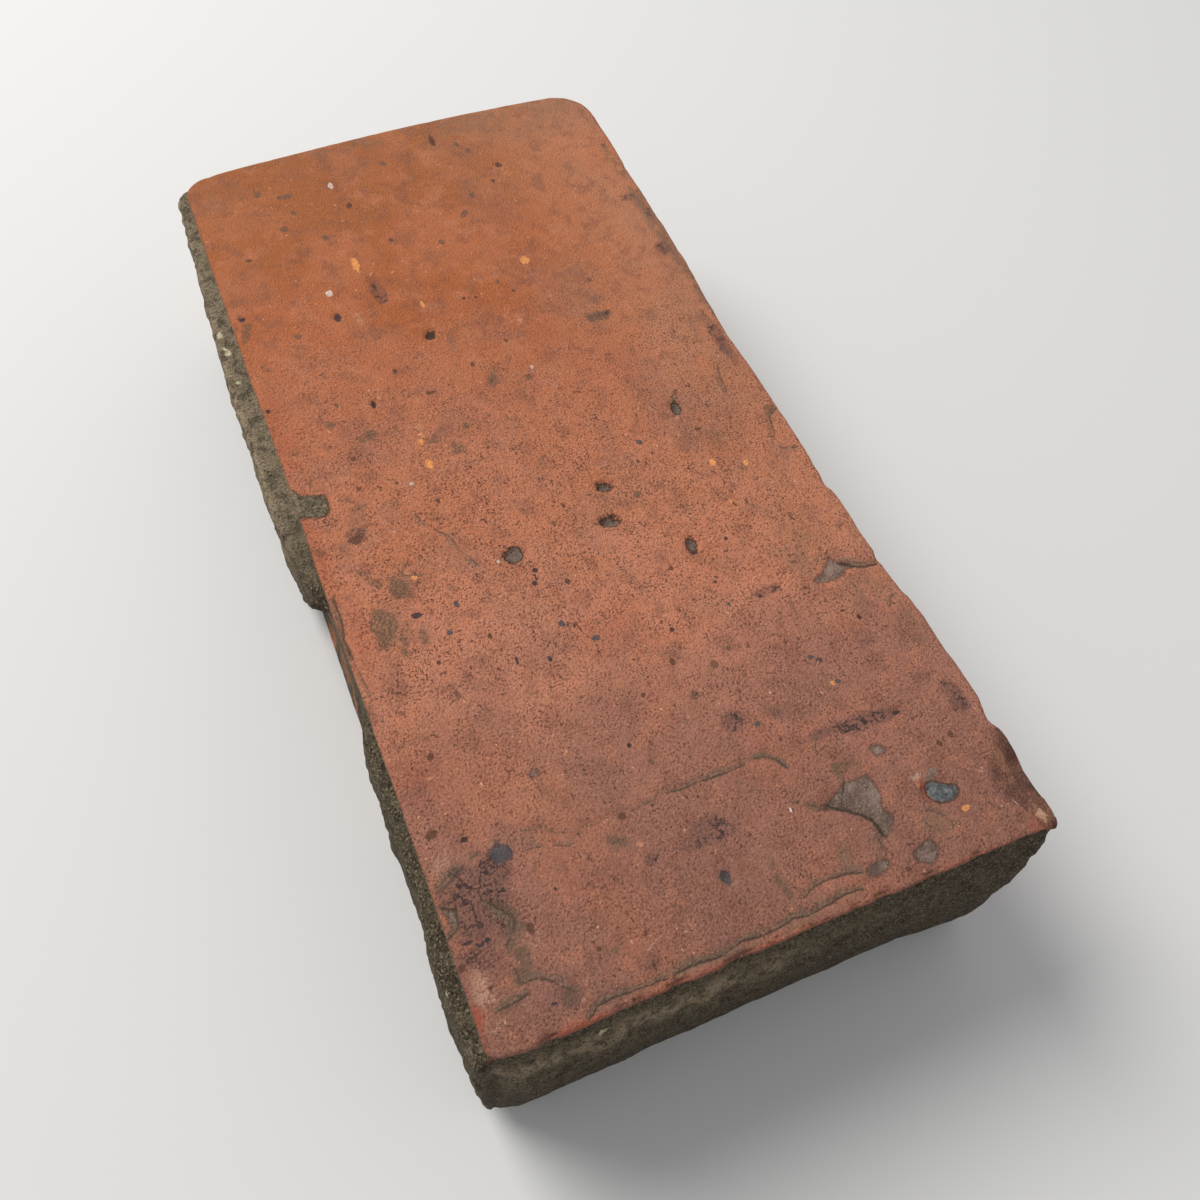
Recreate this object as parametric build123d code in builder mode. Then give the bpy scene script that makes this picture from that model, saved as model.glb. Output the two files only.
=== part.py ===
from build123d import *
import os

os.makedirs("parts", exist_ok=True)

# All sizes in millimetres. X runs along the brick towards its far end, Y across
# it towards the crusted long side, and Z up from the bed face that it lies on.
# The origin is below the middle of the brick, crusts included. Lengths along X
# are taken from the near end's face, and Y from the straight long side's face.
near_end_x = -105.5
straight_side_y = 48.5

# Body: a hand-moulded block, square at the near end and out of square at the far
# end, with the other long side slightly hollow. The far end's points are given
# from the far end of the straight side, as is its corner with the hollow side.
height = 50.0
near_end_width = 101.6
straight_side_length = 203.2
far_end_curve = [(5.6, -21.3), (8.4, -52.3), (9.6, -84.3)]
far_hollow_corner = (8.8, -101.3)
hollow_side_curve = [(164.0, -100.6), (122.0, -99.0), (77.0, -98.9), (41.0, -100.5)]

# Rounding of the upright corners in plan
far_hollow_corner_r = 9.0
far_straight_corner_r = 4.0
near_straight_corner_r = 1.6
near_hollow_corner_r = 1.2

# Worn arrises, as the radius left on them
top_arris_r = 1.0
bottom_arris_r = 2.0

# Stretches of arris worn to a slope that fades out away from the near end: the
# slope's width across the bed and its depth down the side, at its start and end
wear_overrun = 4.0
top_wear_length = 22.0
top_wear_start = (7.4, 3.3)
top_wear_end = (0.6, 0.6)
bottom_wear_length = 17.0
bottom_wear_start = (10.5, 9.5)
bottom_wear_end = (1.5, 1.5)

# Chips out of the top arris of the hollow side
arris_chip_r = 6.0
arris_chip_bite = 1.4
arris_chips = [(21.5, -101.3), (58.0, -99.6), (77.5, -98.9), (120.0, -99.0)]

# Round pits in the top bed face: place, radius of the mouth and depth
pits = [
    ((103.8, -78.6), 1.7, 1.3),
    ((90.5, -56.6), 1.5, 1.2),
    ((82.6, -54.1), 1.8, 1.0),
    ((81.6, -33.9), 1.9, 1.3),
    ((71.8, -66.5), 1.8, 1.4),
    ((140.5, -37.5), 1.4, 0.9),
    ((125.8, -20.9), 1.0, 0.8),
    ((12.4, -43.7), 1.2, 0.9),
    ((12.8, -84.5), 3.0, 1.8),
]

# Pebble fired into the largest pit, seated just below the bed face
pebble_place = (12.4, -84.7)
pebble_r = 2.1
pebble_below_bed = 0.3

# Crust on the straight long side: two slabs of old mortar with broken edges,
# outlined as X and height. Bare clay shows between them, in a gap that widens
# downwards, as the far slab broke off on a slant. The far slab's X is taken from
# the far end of the straight side, the near one's from the near end.
crust_seat = 1.0
far_crust_thickness = 4.6
far_crust_bevel = 30.0
far_crust_outline = [
    (-87.0, 2.6),
    (-70.0, 1.2),
    (-35.0, 2.6),
    (1.0, 4.5),
    (0.0, 41.0),
    (-17.0, 46.5),
    (-45.0, 48.2),
    (-105.0, 48.8),
    (-120.6, 46.5),
    (-116.0, 38.0),
    (-104.5, 24.0),
]
near_crust_thickness = 2.6
near_crust_bevel = 25.0
near_crust_outline = [
    (1.5, 12.0),
    (29.0, 4.0),
    (58.0, 6.0),
    (56.5, 38.0),
    (50.0, 45.0),
    (35.0, 46.8),
    (17.0, 48.0),
    (2.0, 46.0),
]

# Crust on the near end, as distance out from it and height: a slope out to a ridge,
# then a smoother lower part. A groove runs above it, under the arris.
end_crust_seat = 1.0
end_crust_section = [
    (0.2, 46.4),
    (0.8, 42.5),
    (1.5, 36.5),
    (1.8, 31.0),
    (1.3, 24.0),
    (1.0, 14.0),
    (0.2, 4.5),
]
end_crust_side_margin = 3.3
end_crust_width = 96.6
end_groove_r = 2.2
end_groove_depth = 0.9
end_groove_z = 46.8

with BuildPart() as brick:
    # Body
    far_x = straight_side_length
    far_end = [(far_x + x, y) for x, y in far_end_curve]
    hollow_corner = (far_x + far_hollow_corner[0], far_hollow_corner[1])
    bed_plane = Plane((near_end_x, straight_side_y, 0))
    with BuildSketch(bed_plane):
        with BuildLine():
            Line((0, 0), (far_x, 0))
            Spline((far_x, 0), *far_end, hollow_corner)
            Spline(hollow_corner, *hollow_side_curve, (0, -near_end_width))
            Line((0, -near_end_width), (0, 0))
        make_face()
    extrude(amount=height)

    # Upright corners
    uprights = brick.edges().filter_by(Axis.Z)
    near_uprights = uprights.group_by(Axis.X)[0].sort_by(Axis.Y)
    far_uprights = uprights.sort_by(Axis.X)[2:].sort_by(Axis.Y)
    fillet(near_uprights[-1], radius=near_straight_corner_r)
    fillet(near_uprights[0], radius=near_hollow_corner_r)
    fillet(far_uprights[0], radius=far_hollow_corner_r)
    fillet(far_uprights[-1], radius=far_straight_corner_r)

    # Worn arrises
    fillet(brick.faces().sort_by(Axis.Z)[-1].edges(), radius=top_arris_r)
    fillet(brick.faces().sort_by(Axis.Z)[0].edges(), radius=bottom_arris_r)

    # Crust slabs on the long side, each with a sloping broken edge
    side_plane = Plane(
        (near_end_x, straight_side_y - crust_seat, 0),
        x_dir=(1, 0, 0),
        z_dir=(0, -1, 0),
    )
    with BuildSketch(side_plane):
        with BuildLine():
            Polyline(*[(far_x + x, z) for x, z in far_crust_outline], close=True)
        make_face()
    extrude(amount=-(crust_seat + far_crust_thickness), taper=far_crust_bevel)
    with BuildSketch(side_plane):
        with BuildLine():
            Polyline(*near_crust_outline, close=True)
        make_face()
    extrude(amount=-(crust_seat + near_crust_thickness), taper=near_crust_bevel)

    # Ridged crust across the near end
    end_crust_start_y = straight_side_y - end_crust_side_margin
    crust_points = [(near_end_x - out, z) for out, z in end_crust_section]
    crust_back_x = near_end_x + end_crust_seat
    with BuildSketch(Plane.XZ.offset(-end_crust_start_y)):
        with BuildLine():
            Spline(*crust_points)
            Polyline(
                crust_points[-1],
                (crust_back_x, crust_points[-1][1]),
                (crust_back_x, crust_points[0][1]),
                crust_points[0],
            )
        make_face()
    extrude(amount=end_crust_width)

    # Groove under the near end's arris
    groove_x = near_end_x - (end_groove_r - end_groove_depth)
    with BuildSketch(Plane.XZ.offset(-straight_side_y)):
        with Locations((groove_x, end_groove_z)):
            Circle(end_groove_r)
    extrude(amount=near_end_width, mode=Mode.SUBTRACT)

    # Worn slope on the hollow side's top arris, then the knocked-off bottom corner
    hollow_y = straight_side_y - near_end_width
    wear_start_x = near_end_x - wear_overrun
    for x, (width, depth) in (
        (wear_start_x, top_wear_start),
        (near_end_x + top_wear_length, top_wear_end),
    ):
        with BuildSketch(Plane.YZ.offset(x)):
            with BuildLine():
                Polyline(
                    (hollow_y + width, height),
                    (hollow_y, height - depth),
                    (hollow_y - wear_overrun, height + wear_overrun),
                    close=True,
                )
            make_face()
    loft(mode=Mode.SUBTRACT)

    crust_face_y = straight_side_y + near_crust_thickness
    for x, (width, depth) in (
        (wear_start_x, bottom_wear_start),
        (near_end_x + bottom_wear_length, bottom_wear_end),
    ):
        with BuildSketch(Plane.YZ.offset(x)):
            with BuildLine():
                Polyline(
                    (crust_face_y - width, 0),
                    (crust_face_y, depth),
                    (crust_face_y + wear_overrun, -wear_overrun),
                    close=True,
                )
            make_face()
    loft(mode=Mode.SUBTRACT)

    # Chips, pits and the pebble, placed on the top bed face
    chip_offset = (arris_chip_r - arris_chip_bite) / 2**0.5
    with Locations((near_end_x, straight_side_y, height)):
        with Locations([(x, y - chip_offset, chip_offset) for x, y in arris_chips]):
            Sphere(arris_chip_r, mode=Mode.SUBTRACT)
        for (x, y), mouth_r, depth in pits:
            pit_r = (mouth_r**2 + depth**2) / (2 * depth)
            with Locations((x, y, pit_r - depth)):
                Sphere(pit_r, mode=Mode.SUBTRACT)
        with Locations((*pebble_place, -pebble_below_bed - pebble_r)):
            Sphere(pebble_r)

brick.part.label = "brick"
export_step(brick.part, "parts/brick.step")
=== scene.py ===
import math

import bpy
import numpy as np
from mathutils import Matrix, Vector


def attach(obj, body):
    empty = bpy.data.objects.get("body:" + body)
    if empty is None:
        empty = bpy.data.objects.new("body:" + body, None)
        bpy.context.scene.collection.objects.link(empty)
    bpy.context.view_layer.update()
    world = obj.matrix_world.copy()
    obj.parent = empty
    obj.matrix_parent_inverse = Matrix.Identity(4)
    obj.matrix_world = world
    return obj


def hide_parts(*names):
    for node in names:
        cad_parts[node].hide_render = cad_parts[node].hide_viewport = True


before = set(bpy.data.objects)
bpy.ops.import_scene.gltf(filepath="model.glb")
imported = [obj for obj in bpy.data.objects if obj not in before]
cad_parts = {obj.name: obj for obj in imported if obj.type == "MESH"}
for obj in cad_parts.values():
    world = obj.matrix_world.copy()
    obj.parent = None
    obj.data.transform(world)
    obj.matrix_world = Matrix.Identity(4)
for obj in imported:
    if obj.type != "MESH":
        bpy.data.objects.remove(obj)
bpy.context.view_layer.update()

# Sizes here are in millimetres, in the brick's own directions: u runs from the near
# end along the brick, v from the straight long side across it, z up from its base.
MM = 0.001
NEAR_X, SIDE_Y, HEIGHT = -105.5, 48.5, 50.0
LENGTH, WIDTH = 210.0, 100.0


def tint(r, g, b):
    """A colour given from 0 to 255 as it looks, as Blender's own linear one."""
    return [((c / 255 + 0.055) / 1.055) ** 2.4 for c in (r, g, b)] + [1.0]


def smooth(edge0, edge1, x):
    """0 up to edge0, 1 from edge1, and a smooth step between."""
    t = np.clip((x - edge0) / (edge1 - edge0), 0.0, 1.0)
    return t * t * (3.0 - 2.0 * t)


def curve(points, x):
    """A smooth curve through points, read at x."""
    px, py = np.array(points, float).T
    slope = np.gradient(py, px)
    k = np.clip(np.searchsorted(px, x) - 1, 0, len(px) - 2)
    step = px[k + 1] - px[k]
    t = np.clip((x - px[k]) / step, 0.0, 1.0)
    a, b = py[k], py[k + 1]
    ma, mb = slope[k] * step, slope[k + 1] * step
    return (a * (1 + 2 * t) * (1 - t) ** 2 + ma * t * (1 - t) ** 2
            + b * t * t * (3 - 2 * t) + mb * t * t * (t - 1))


def lattice(i, j, k, seed):
    """A fixed number from -1 to 1 for each lattice point, from an integer hash."""
    n = (i * 73856093) ^ (j * 19349663) ^ (k * 83492791) ^ (seed * 2654435)
    n = (n ^ (n >> 13)) * 1274126177 & 0x7FFFFFFF
    n = (n ^ (n >> 15)) * 668265263 & 0x7FFFFFFF
    return n / 0x7FFFFFFF * 2.0 - 1.0


def noise(p, size, seed=0):
    """Value noise from -1 to 1, with lumps about that size."""
    q = p / size
    cell = np.floor(q).astype(np.int64)
    f = q - cell
    f = f * f * f * (f * (f * 6 - 15) + 10)
    total = np.zeros(len(p))
    for di in (0, 1):
        for dj in (0, 1):
            for dk in (0, 1):
                weight = (np.where(di, f[:, 0], 1 - f[:, 0])
                          * np.where(dj, f[:, 1], 1 - f[:, 1])
                          * np.where(dk, f[:, 2], 1 - f[:, 2]))
                corner = cell[:, 0] + di, cell[:, 1] + dj, cell[:, 2] + dk
                total += weight * lattice(*corner, seed)
    return total


def lumpy(p, size, octaves=4, seed=0):
    """Noise with finer noises laid over it, each half the size of the last."""
    total, amount, reach = np.zeros(len(p)), 1.0, 0.0
    for n in range(octaves):
        total += amount * noise(p + 17.3 * n, size / 2.0 ** n, seed + n)
        reach += amount
        amount *= 0.55
    return total / reach


# Outline in plan: the far end as (v, u) and the hollow side as (u, v), then the radius of
# each corner, by whether it is at the far end and on the hollow side
FAR_END = [(0, 205), (6, 206.6), (12, 207.6), (22, 208.7), (38, 210.4), (55, 211.7), (70, 212.4),
           (84, 212.8), (100, 212.7)]
HOLLOW_SIDE = [(0, 100.4), (10, 100.5), (17, 100.6), (20.5, 99.7), (24, 100.6), (35, 100.5),
               (46, 100.4), (50.5, 99.5), (60, 99.3), (70, 99.3), (77, 98.9), (90, 99.1),
               (110, 99.1), (121, 98.9), (131, 99.2), (140, 99.9), (150, 100.3), (165, 100.6),
               (180, 100.8), (190, 101.4), (212, 101.7)]
CORNER_R = {(0, 0): 1.5, (0, 1): 2.6, (1, 0): 4.5, (1, 1): 9.0}


def plan(p, q, roughness=1.0):
    """The outline's points for border points of the plain LENGTH by WIDTH rectangle."""
    for (end, side), r in CORNER_R.items():
        cp = LENGTH - r if end else r
        cq = WIDTH - r if side else r
        dp, dq = (p - cp) * (1 if end else -1), (q - cq) * (1 if side else -1)
        inside = (dp > 0) & (dq > 0)
        k = np.where(inside, np.maximum(dp, dq) / np.maximum(np.hypot(dp, dq), 1e-9), 1.0)
        p = np.where(inside, cp + (p - cp) * k, p)
        q = np.where(inside, cq + (q - cq) * k, q)
    flat = np.stack([p, q, np.zeros_like(p)], 1)
    near = 0.22 * lumpy(flat, 14.0, 3, 5) + 0.9 * smooth(6, 0, q)
    straight = 0.25 * lumpy(flat, 18.0, 3, 8) - 0.2
    ragged = roughness * 0.22 * lumpy(flat, 4.0, 3, 11)
    u = near + p / LENGTH * (curve(FAR_END, q) - near)
    v = straight + q / WIDTH * (curve(HOLLOW_SIDE, u) + ragged - straight)
    return u, v


# Mesh grid
def grid_lines(total, count, first, last):
    """count steps that grow evenly from first to last and add up to total."""
    step = np.linspace(first, last, count)
    return np.concatenate([[0], np.cumsum(step) * total / step.sum()])


# Squares along and across the bed face, finer towards the near end
NU, NV = 276, 148
lines_u = grid_lines(LENGTH, NU, 0.66, 0.86)
lines_v = grid_lines(WIDTH, NV, 1.0, 1.0)

# The border loop, from the near straight corner along the straight side
border = ([(i, 0) for i in range(NU)] + [(NU, j) for j in range(NV)]
          + [(i, NV) for i in range(NU, 0, -1)] + [(0, j) for j in range(NV, 0, -1)])
bi, bj = np.array(border).T
bu, bv = plan(lines_u[bi], lines_v[bj])


def outward_of(loop_u, loop_v):
    """The direction square to a loop at each of its points."""
    across = np.stack([np.roll(loop_v, -1) - np.roll(loop_v, 1),
                       np.roll(loop_u, 1) - np.roll(loop_u, -1)], 1)
    return across / np.linalg.norm(across, axis=1)[:, None]


outward = outward_of(bu, bv)
# The base's rounding runs in to a calmer outline, so that it doesn't fold over itself
calm_u, calm_v = plan(lines_u[bi], lines_v[bj], 0.0)
calm_outward = outward_of(calm_u, calm_v)

# Radius left on the top arris: crisp on the straight side and near end, softer elsewhere
top_r = 0.55 + 0.75 * smooth(170, 208, bu) + 0.2 * smooth(80, 99, bv)
BOTTOM_R = 2.0

# Rows of the wall, from the bed face's rim to the base: kind, tilt and height. Those of
# the crust's ledge lie closer together.
LEDGE_BOTTOM, LEDGE_DEPTH, LOWEST = 46.0, 3.45, 3.2
LEDGE_ROWS = (48.9, 48.75, 48.6, 48.45, 48.3, 48.05, 47.6, 46.9, LEDGE_BOTTOM)
rows = [("top", angle, 0.0) for angle in (90, 60, 30, 0)]
TOP_ROWS = len(rows)
rows += [("wall", 0, z) for z in (*LEDGE_ROWS, *np.linspace(44.8, LOWEST, 34))]
rows += [("base", angle, 0.0) for angle in (0, -22, -45, -67, -90)]

# The crust's broken end hangs lower than the rest of its ledge
drop = 4.5 * smooth(80, 84, bu) * smooth(99, 89, bu) * (bv < 5)
ledge_end, upper_end = LEDGE_BOTTOM - drop, HEIGHT - top_r

count = len(border)
row_points, row_normals = [], []
for kind, angle, z in rows:
    c, s = math.cos(math.radians(angle)), math.sin(math.radians(angle))
    away, calm = (calm_outward, 1 - c) if kind == "base" else (outward, 0.0)
    if kind == "top":
        inset, level = top_r * (1 - c), HEIGHT - top_r * (1 - s)
    elif kind == "base":
        inset, level = BOTTOM_R * (1 - c), np.full(count, BOTTOM_R * (1 + s))
    elif z >= LEDGE_BOTTOM:
        share = (z - LEDGE_BOTTOM) / LEDGE_DEPTH
        inset, level = 0.0, ledge_end + share * (upper_end - ledge_end)
    else:
        share = (z - LOWEST) / (LEDGE_BOTTOM - LOWEST)
        inset, level = 0.0, LOWEST + share * (ledge_end - LOWEST)
    loop_u = bu + calm * (calm_u - bu) - away[:, 0] * inset
    loop_v = bv + calm * (calm_v - bv) - away[:, 1] * inset
    row_points.append(np.stack([loop_u, loop_v, level], 1))
    row_normals.append(np.stack([away[:, 0] * c, away[:, 1] * c, np.full(count, s)], 1))

index_of = {key: n for n, key in enumerate(border)}


def fill(rim):
    """The grid inside a rim, as a Coons patch."""
    straight = np.array([rim[index_of[(i, 0)]] for i in range(NU + 1)])
    hollow = np.array([rim[index_of[(i, NV)]] for i in range(NU + 1)])
    near = np.array([rim[index_of[(0, j)]] for j in range(NV + 1)])
    far = np.array([rim[index_of[(NU, j)]] for j in range(NV + 1)])
    a = (lines_u / LENGTH)[:, None, None]
    b = (lines_v / WIDTH)[None, :, None]
    return ((1 - b) * straight[:, None] + b * hollow[:, None] + (1 - a) * near[None]
            + a * far[None] - (1 - a) * (1 - b) * straight[0] - a * (1 - b) * straight[-1]
            - (1 - a) * b * hollow[0] - a * b * hollow[-1])


# One list of vertices: wall rows first, then the inner bed face, then the inner base. The
# base is coarser, and a little smaller so that it stays inside its own last row.
STEP = 4
BASE_MARGIN = 1.5
grid = fill(row_points[0][:, :2])
inner = grid[1:NU, 1:NV].reshape(-1, 2)
middle = np.array([LENGTH, WIDTH]) / 2
low = grid[STEP:NU:STEP, STEP:NV:STEP].reshape(-1, 2)
low = middle + (low - middle) * (1 - BASE_MARGIN / middle)
low_start = len(rows) * count + len(inner)
points = np.concatenate([*row_points, np.column_stack([inner, np.full(len(inner), HEIGHT)]),
                         np.column_stack([low, np.zeros(len(low))])])
normals = np.concatenate([*row_normals, np.tile([0.0, 0.0, 1.0], (len(inner), 1)),
                          np.tile([0.0, 0.0, -1.0], (len(low), 1))])


def top_index(i, j):
    if i in (0, NU) or j in (0, NV):
        return index_of[(i, j)]
    return len(rows) * count + (i - 1) * (NV - 1) + j - 1


def base_index(i, j):
    if i in (0, NU) or j in (0, NV):
        return (len(rows) - 1) * count + index_of[(i, j)]
    return low_start + (i // STEP - 1) * (NV // STEP - 1) + j // STEP - 1


faces = []
for k in range(len(rows) - 1):
    for n in range(count):
        m = (n + 1) % count
        upper, lower = k * count, (k + 1) * count
        faces.append((upper + n, upper + m, lower + m, lower + n))
for i in range(NU):
    for j in range(NV):
        square = ((i, j), (i, j + 1), (i + 1, j + 1), (i + 1, j))
        faces.append(tuple(top_index(*key) for key in square))
for i in range(0, NU, STEP):
    for j in range(0, NV, STEP):
        # Walk round the cell, with every fine vertex where it touches the border
        ring = []
        cell = ((i, j), (i + STEP, j), (i + STEP, j + STEP), (i, j + STEP), (i, j))
        for (i0, j0), (i1, j1) in zip(cell, cell[1:]):
            fine = (j0 == j1 and j0 in (0, NV)) or (i0 == i1 and i0 in (0, NU))
            steps = STEP if fine else 1
            for t in range(steps):
                key = i0 + (i1 - i0) * t // steps, j0 + (j1 - j0) * t // steps
                ring.append(base_index(*key))
        if len(ring) == 4:
            faces.append(tuple(ring))
            continue
        # A cell at the border is a fan from its corner nearest the middle
        hub_key = (min(max(i + STEP * (i < NU / 2), STEP), NU - STEP),
                   min(max(j + STEP * (j < NV / 2), STEP), NV - STEP))
        hub = ring.index(base_index(*hub_key))
        ring = ring[hub:] + ring[:hub]
        for t in range(1, len(ring) - 1):
            faces.append((ring[0], ring[t], ring[t + 1]))


# What the bed face shows, by place. Pits: half sizes, depth and turn in degrees
PITS = [
    (82.9, 54.2, 1.3, 2.3, 1.3, 12), (91, 56.6, 1.2, 1.9, 1.1, 20), (72.2, 66.6, 2.1, 1.3, 1.2, 8),
    (104.9, 78.8, 2, 1.1, 1.2, 10), (81.9, 34.3, 1.9, 2.3, 0.7), (141, 37.8, 1.4, 1.4, 0.9),
    (126, 21, 0.9, 0.7, 0.7), (152.2, 21, 1.3, 0.9, 0.7), (157.8, 2.2, 0.9, 0.9, 0.6),
    (12.2, 43.7, 1.5, 1, 0.7, 10), (12.3, 84.1, 2.9, 3, 1.4), (157.5, 31.5, 5.5, 1.6, 0.6),
    (33.2, 7.5, 0.8, 0.7, 0.5), (75.5, 13.6, 0.7, 1.1, 0.4), (27.9, 85.2, 0.8, 1.2, 0.5),
    (38.7, 38.7, 0.6, 0.5, 0.5, 30), (47, 88.8, 0.6, 0.5, 0.5), (203.5, 59.3, 2.2, 0.9, 0.5, 5),
    (190.2, 71.2, 1, 1, 0.5), (58, 75, 0.8, 1.6, 0.35), (74.6, 35.7, 0.7, 0.6, 0.45),
    (77.3, 36.8, 0.7, 0.5, 0.45), (48.6, 7, 0.9, 0.7, 0.35), (67.2, 24.2, 1, 0.6, 0.35),
]
# Pebble fired into the largest pit. Outlines and paths have their u and v in turn.
STONE = [14.2, 83, 14.1, 84.3, 13.5, 85.3, 12.6, 86.2, 12.2, 87.2, 11.2, 87.3, 10.2, 86.3,
         10.1, 84.8, 10.5, 83.6, 11.4, 82.6, 12.5, 82.2, 13.6, 82.4]
# Cracks and creases: path, half width, darkness and depth
# Their dark lines are partly dirt and partly painted shade inside the cracks.
CRACKS = [
    ([0.8, 15.4, 1.9, 17.2, 2, 20.5, 1.8, 24, 1.7, 28.6], 0.15, 0.9, 0.45),
    ([1.8, 29.8, 1.9, 33, 1.6, 36.4, 1.7, 38.2, 2.3, 41, 2, 44, 2.1, 48.6, 2.5, 50.2, 2.1, 53,
      2.1, 57, 2.8, 60.2, 2.4, 63], 0.16, 0.9, 0.45),
    ([4.8, 54, 5.7, 56.4, 5.9, 59, 5.5, 62, 4.7, 64.6], 0.17, 0.75, 0.3),
    ([4.9, 69, 6.6, 70.2, 8.6, 69.8, 9.6, 71.4], 0.16, 0.6, 0.25),
    ([19.4, 60, 17.4, 62.8, 16.6, 65], 0.2, 0.55, 0.25),
    ([16.6, 65, 14.8, 67.8, 13, 69.7, 11, 70.9, 8.8, 71.5], 0.28, 0.95, 0.6),
    ([16.4, 67.4, 18, 68.6, 19.6, 69.6], 0.15, 0.8, 0.25),
    ([27.9, 26.6, 28, 30.2, 27.8, 34, 28.1, 37, 28.3, 39.4], 0.1, 0.5, 0.15),
    ([28.7, 41, 28.3, 43.6, 28.5, 46.4, 28.2, 49.5, 28.2, 53, 28.7, 56.5, 28.6, 59, 27.4, 60.7,
      25.2, 61.7], 0.16, 0.75, 0.25),
    ([9.3, 8, 8.8, 10.5, 7.8, 12, 6.4, 13.3, 5.2, 14.6], 0.22, 0.72, 0.2),
    ([9.3, 7.8, 10.6, 8, 12.7, 8, 14.8, 7.5, 16.2, 9.4, 18.2, 10.6, 20.7, 8.9,
      22.6, 7.1], 0.22, 0.62, 0.2),
    ([6.6, 3.4, 6.7, 5, 6.9, 7, 7.3, 8.6], 0.2, 0.8, 0.2),
    ([6.6, 18.8, 8.3, 20.6, 9.2, 22.8, 9.4, 25.2, 8.8, 27.6, 7.9, 29], 0.15, 0.6, 0.2),
    ([44.8, 1.6, 43.2, 2.8, 42, 4.2], 0.1, 0.5, 0.1),
    ([82, 27.2, 85, 26.2, 87.2, 25.2, 90, 24.6, 91.4, 23.2, 93, 22.1, 94.4, 20.6,
      97, 20.2], 0.15, 0.6, 0.2),
    ([83.4, 17.6, 83.6, 15.8, 84.6, 13.6, 85.6, 14.2, 86.6, 15.4], 0.1, 0.6, 0.15),
    ([101.6, 9.6, 101.9, 11.8, 103.4, 14.2, 105.2, 14.7], 0.12, 0.6, 0.2),
    ([58.6, 91.4, 57.4, 93.8, 56.6, 96, 56.4, 98.2], 0.26, 0.9, 0.5),
    ([59, 0.6, 63, 1.4, 68, 0.8, 71, 0.4], 0.1, 0.5, 0.15),
    ([71, 0.5, 75, 0.4, 80, 0.9, 83.5, 0.8], 0.22, 0.75, 0.3),
    ([40.6, 22.4, 42.8, 23.2, 45.2, 22.8], 0.09, 0.5, 0.1),
    ([19.4, 0.4, 20.2, 2, 23.2, 3, 24, 1], 0.16, 0.75, 0.3),
    ([30.6, 11.6, 31.7, 14, 31.3, 16.6, 30.4, 19.6, 28.8, 21.4, 28, 23.4], 0.14, 0.5, 0.2),
    ([28.2, 13.8, 27.8, 17.8, 27, 20.6, 25.8, 22.8, 26.9, 23.6], 0.12, 0.5, 0.2),
    ([87.2, 97.2, 87.6, 95.4, 89, 93.9, 91.4, 95, 94.5, 95.6, 96.6, 96.4,
      98, 98.2], 0.18, 0.7, 0.3),
    ([63, 97.8, 65.5, 96.2, 66.4, 95.6, 67, 97.4, 68.6, 98.4], 0.13, 0.6, 0.2),
    ([47.2, 95.6, 48.4, 96.4, 48.8, 97.4], 0.12, 0.6, 0.1),
    ([105.6, 90.6, 108.5, 91.2, 112.6, 92], 0.22, 0.55, 0.2),
    ([26.6, 1, 27.8, 3.4, 29.2, 6.4, 30.2, 9], 0.2, 0.6, 0.2),
    ([87.4, 32.6, 89.2, 33.4, 90.2, 33.9], 0.12, 0.5, 0.1),
    ([27, 68.2, 27.8, 69], 0.16, 0.7, 0.1),
    ([10, 79.4, 9.8, 80.6, 8.8, 81.7, 7.8, 82.6, 6.6, 83.3, 5.8, 82.5], 0.13, 0.52, 0.1),
    ([6, 81.4, 6.1, 80.5, 7.1, 79.1, 8.6, 78.8], 0.1, 0.5, 0.1),
]
# Grey mortar left on the bed face, as outlines: thick smears, then thin films
MORTAR = [
    [103.2, -1.5, 103, 1.2, 102.2, 3.8, 102.6, 5.2, 105.2, 5.8, 107, 5.6, 107.6, 3.2, 108.2, 1.2,
     110, 0.4, 110, -1.5],
    [16.6, 63.2, 17.4, 65.5, 18.2, 67.2, 19.2, 70, 19.2, 73.8, 17.5, 74.2, 15.2, 74.3, 13.2, 73.2,
     11, 74.3, 9.2, 72.6, 9, 71.6, 11.2, 70.9, 13.2, 69.6, 14.8, 67.8, 16.2, 65.2],
    [3, 74, 4.6, 73.8, 5.2, 76, 5.7, 78, 3.6, 78.6, 2.2, 77.2, 1.6, 76],
    [3.4, 65.4, 4.6, 65, 5.4, 66.2, 5.4, 68.6, 5, 69.8, 3.9, 69.2, 3.3, 67.4],
    [56.6, 84.6, 57.4, 84.9, 57.9, 87, 59.2, 88.4, 60.2, 89.6, 61.8, 89.8, 60, 90.3, 58.9, 91.2,
     58.2, 92.8, 57, 94, 57.5, 91.6, 56.4, 91.2, 55.9, 89.4, 55.9, 86.2],
    [21.6, 77.2, 22.4, 76.8, 23.6, 76.8, 23.2, 78.8, 22.2, 79.6, 21.6, 78.8],
    [38.8, 21.6, 39.7, 20.8, 40.4, 22.2, 39.6, 22.9],
    [20.3, 1.2, 23.5, 0.9, 23.2, 2.6, 21.2, 2.2],
]
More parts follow.
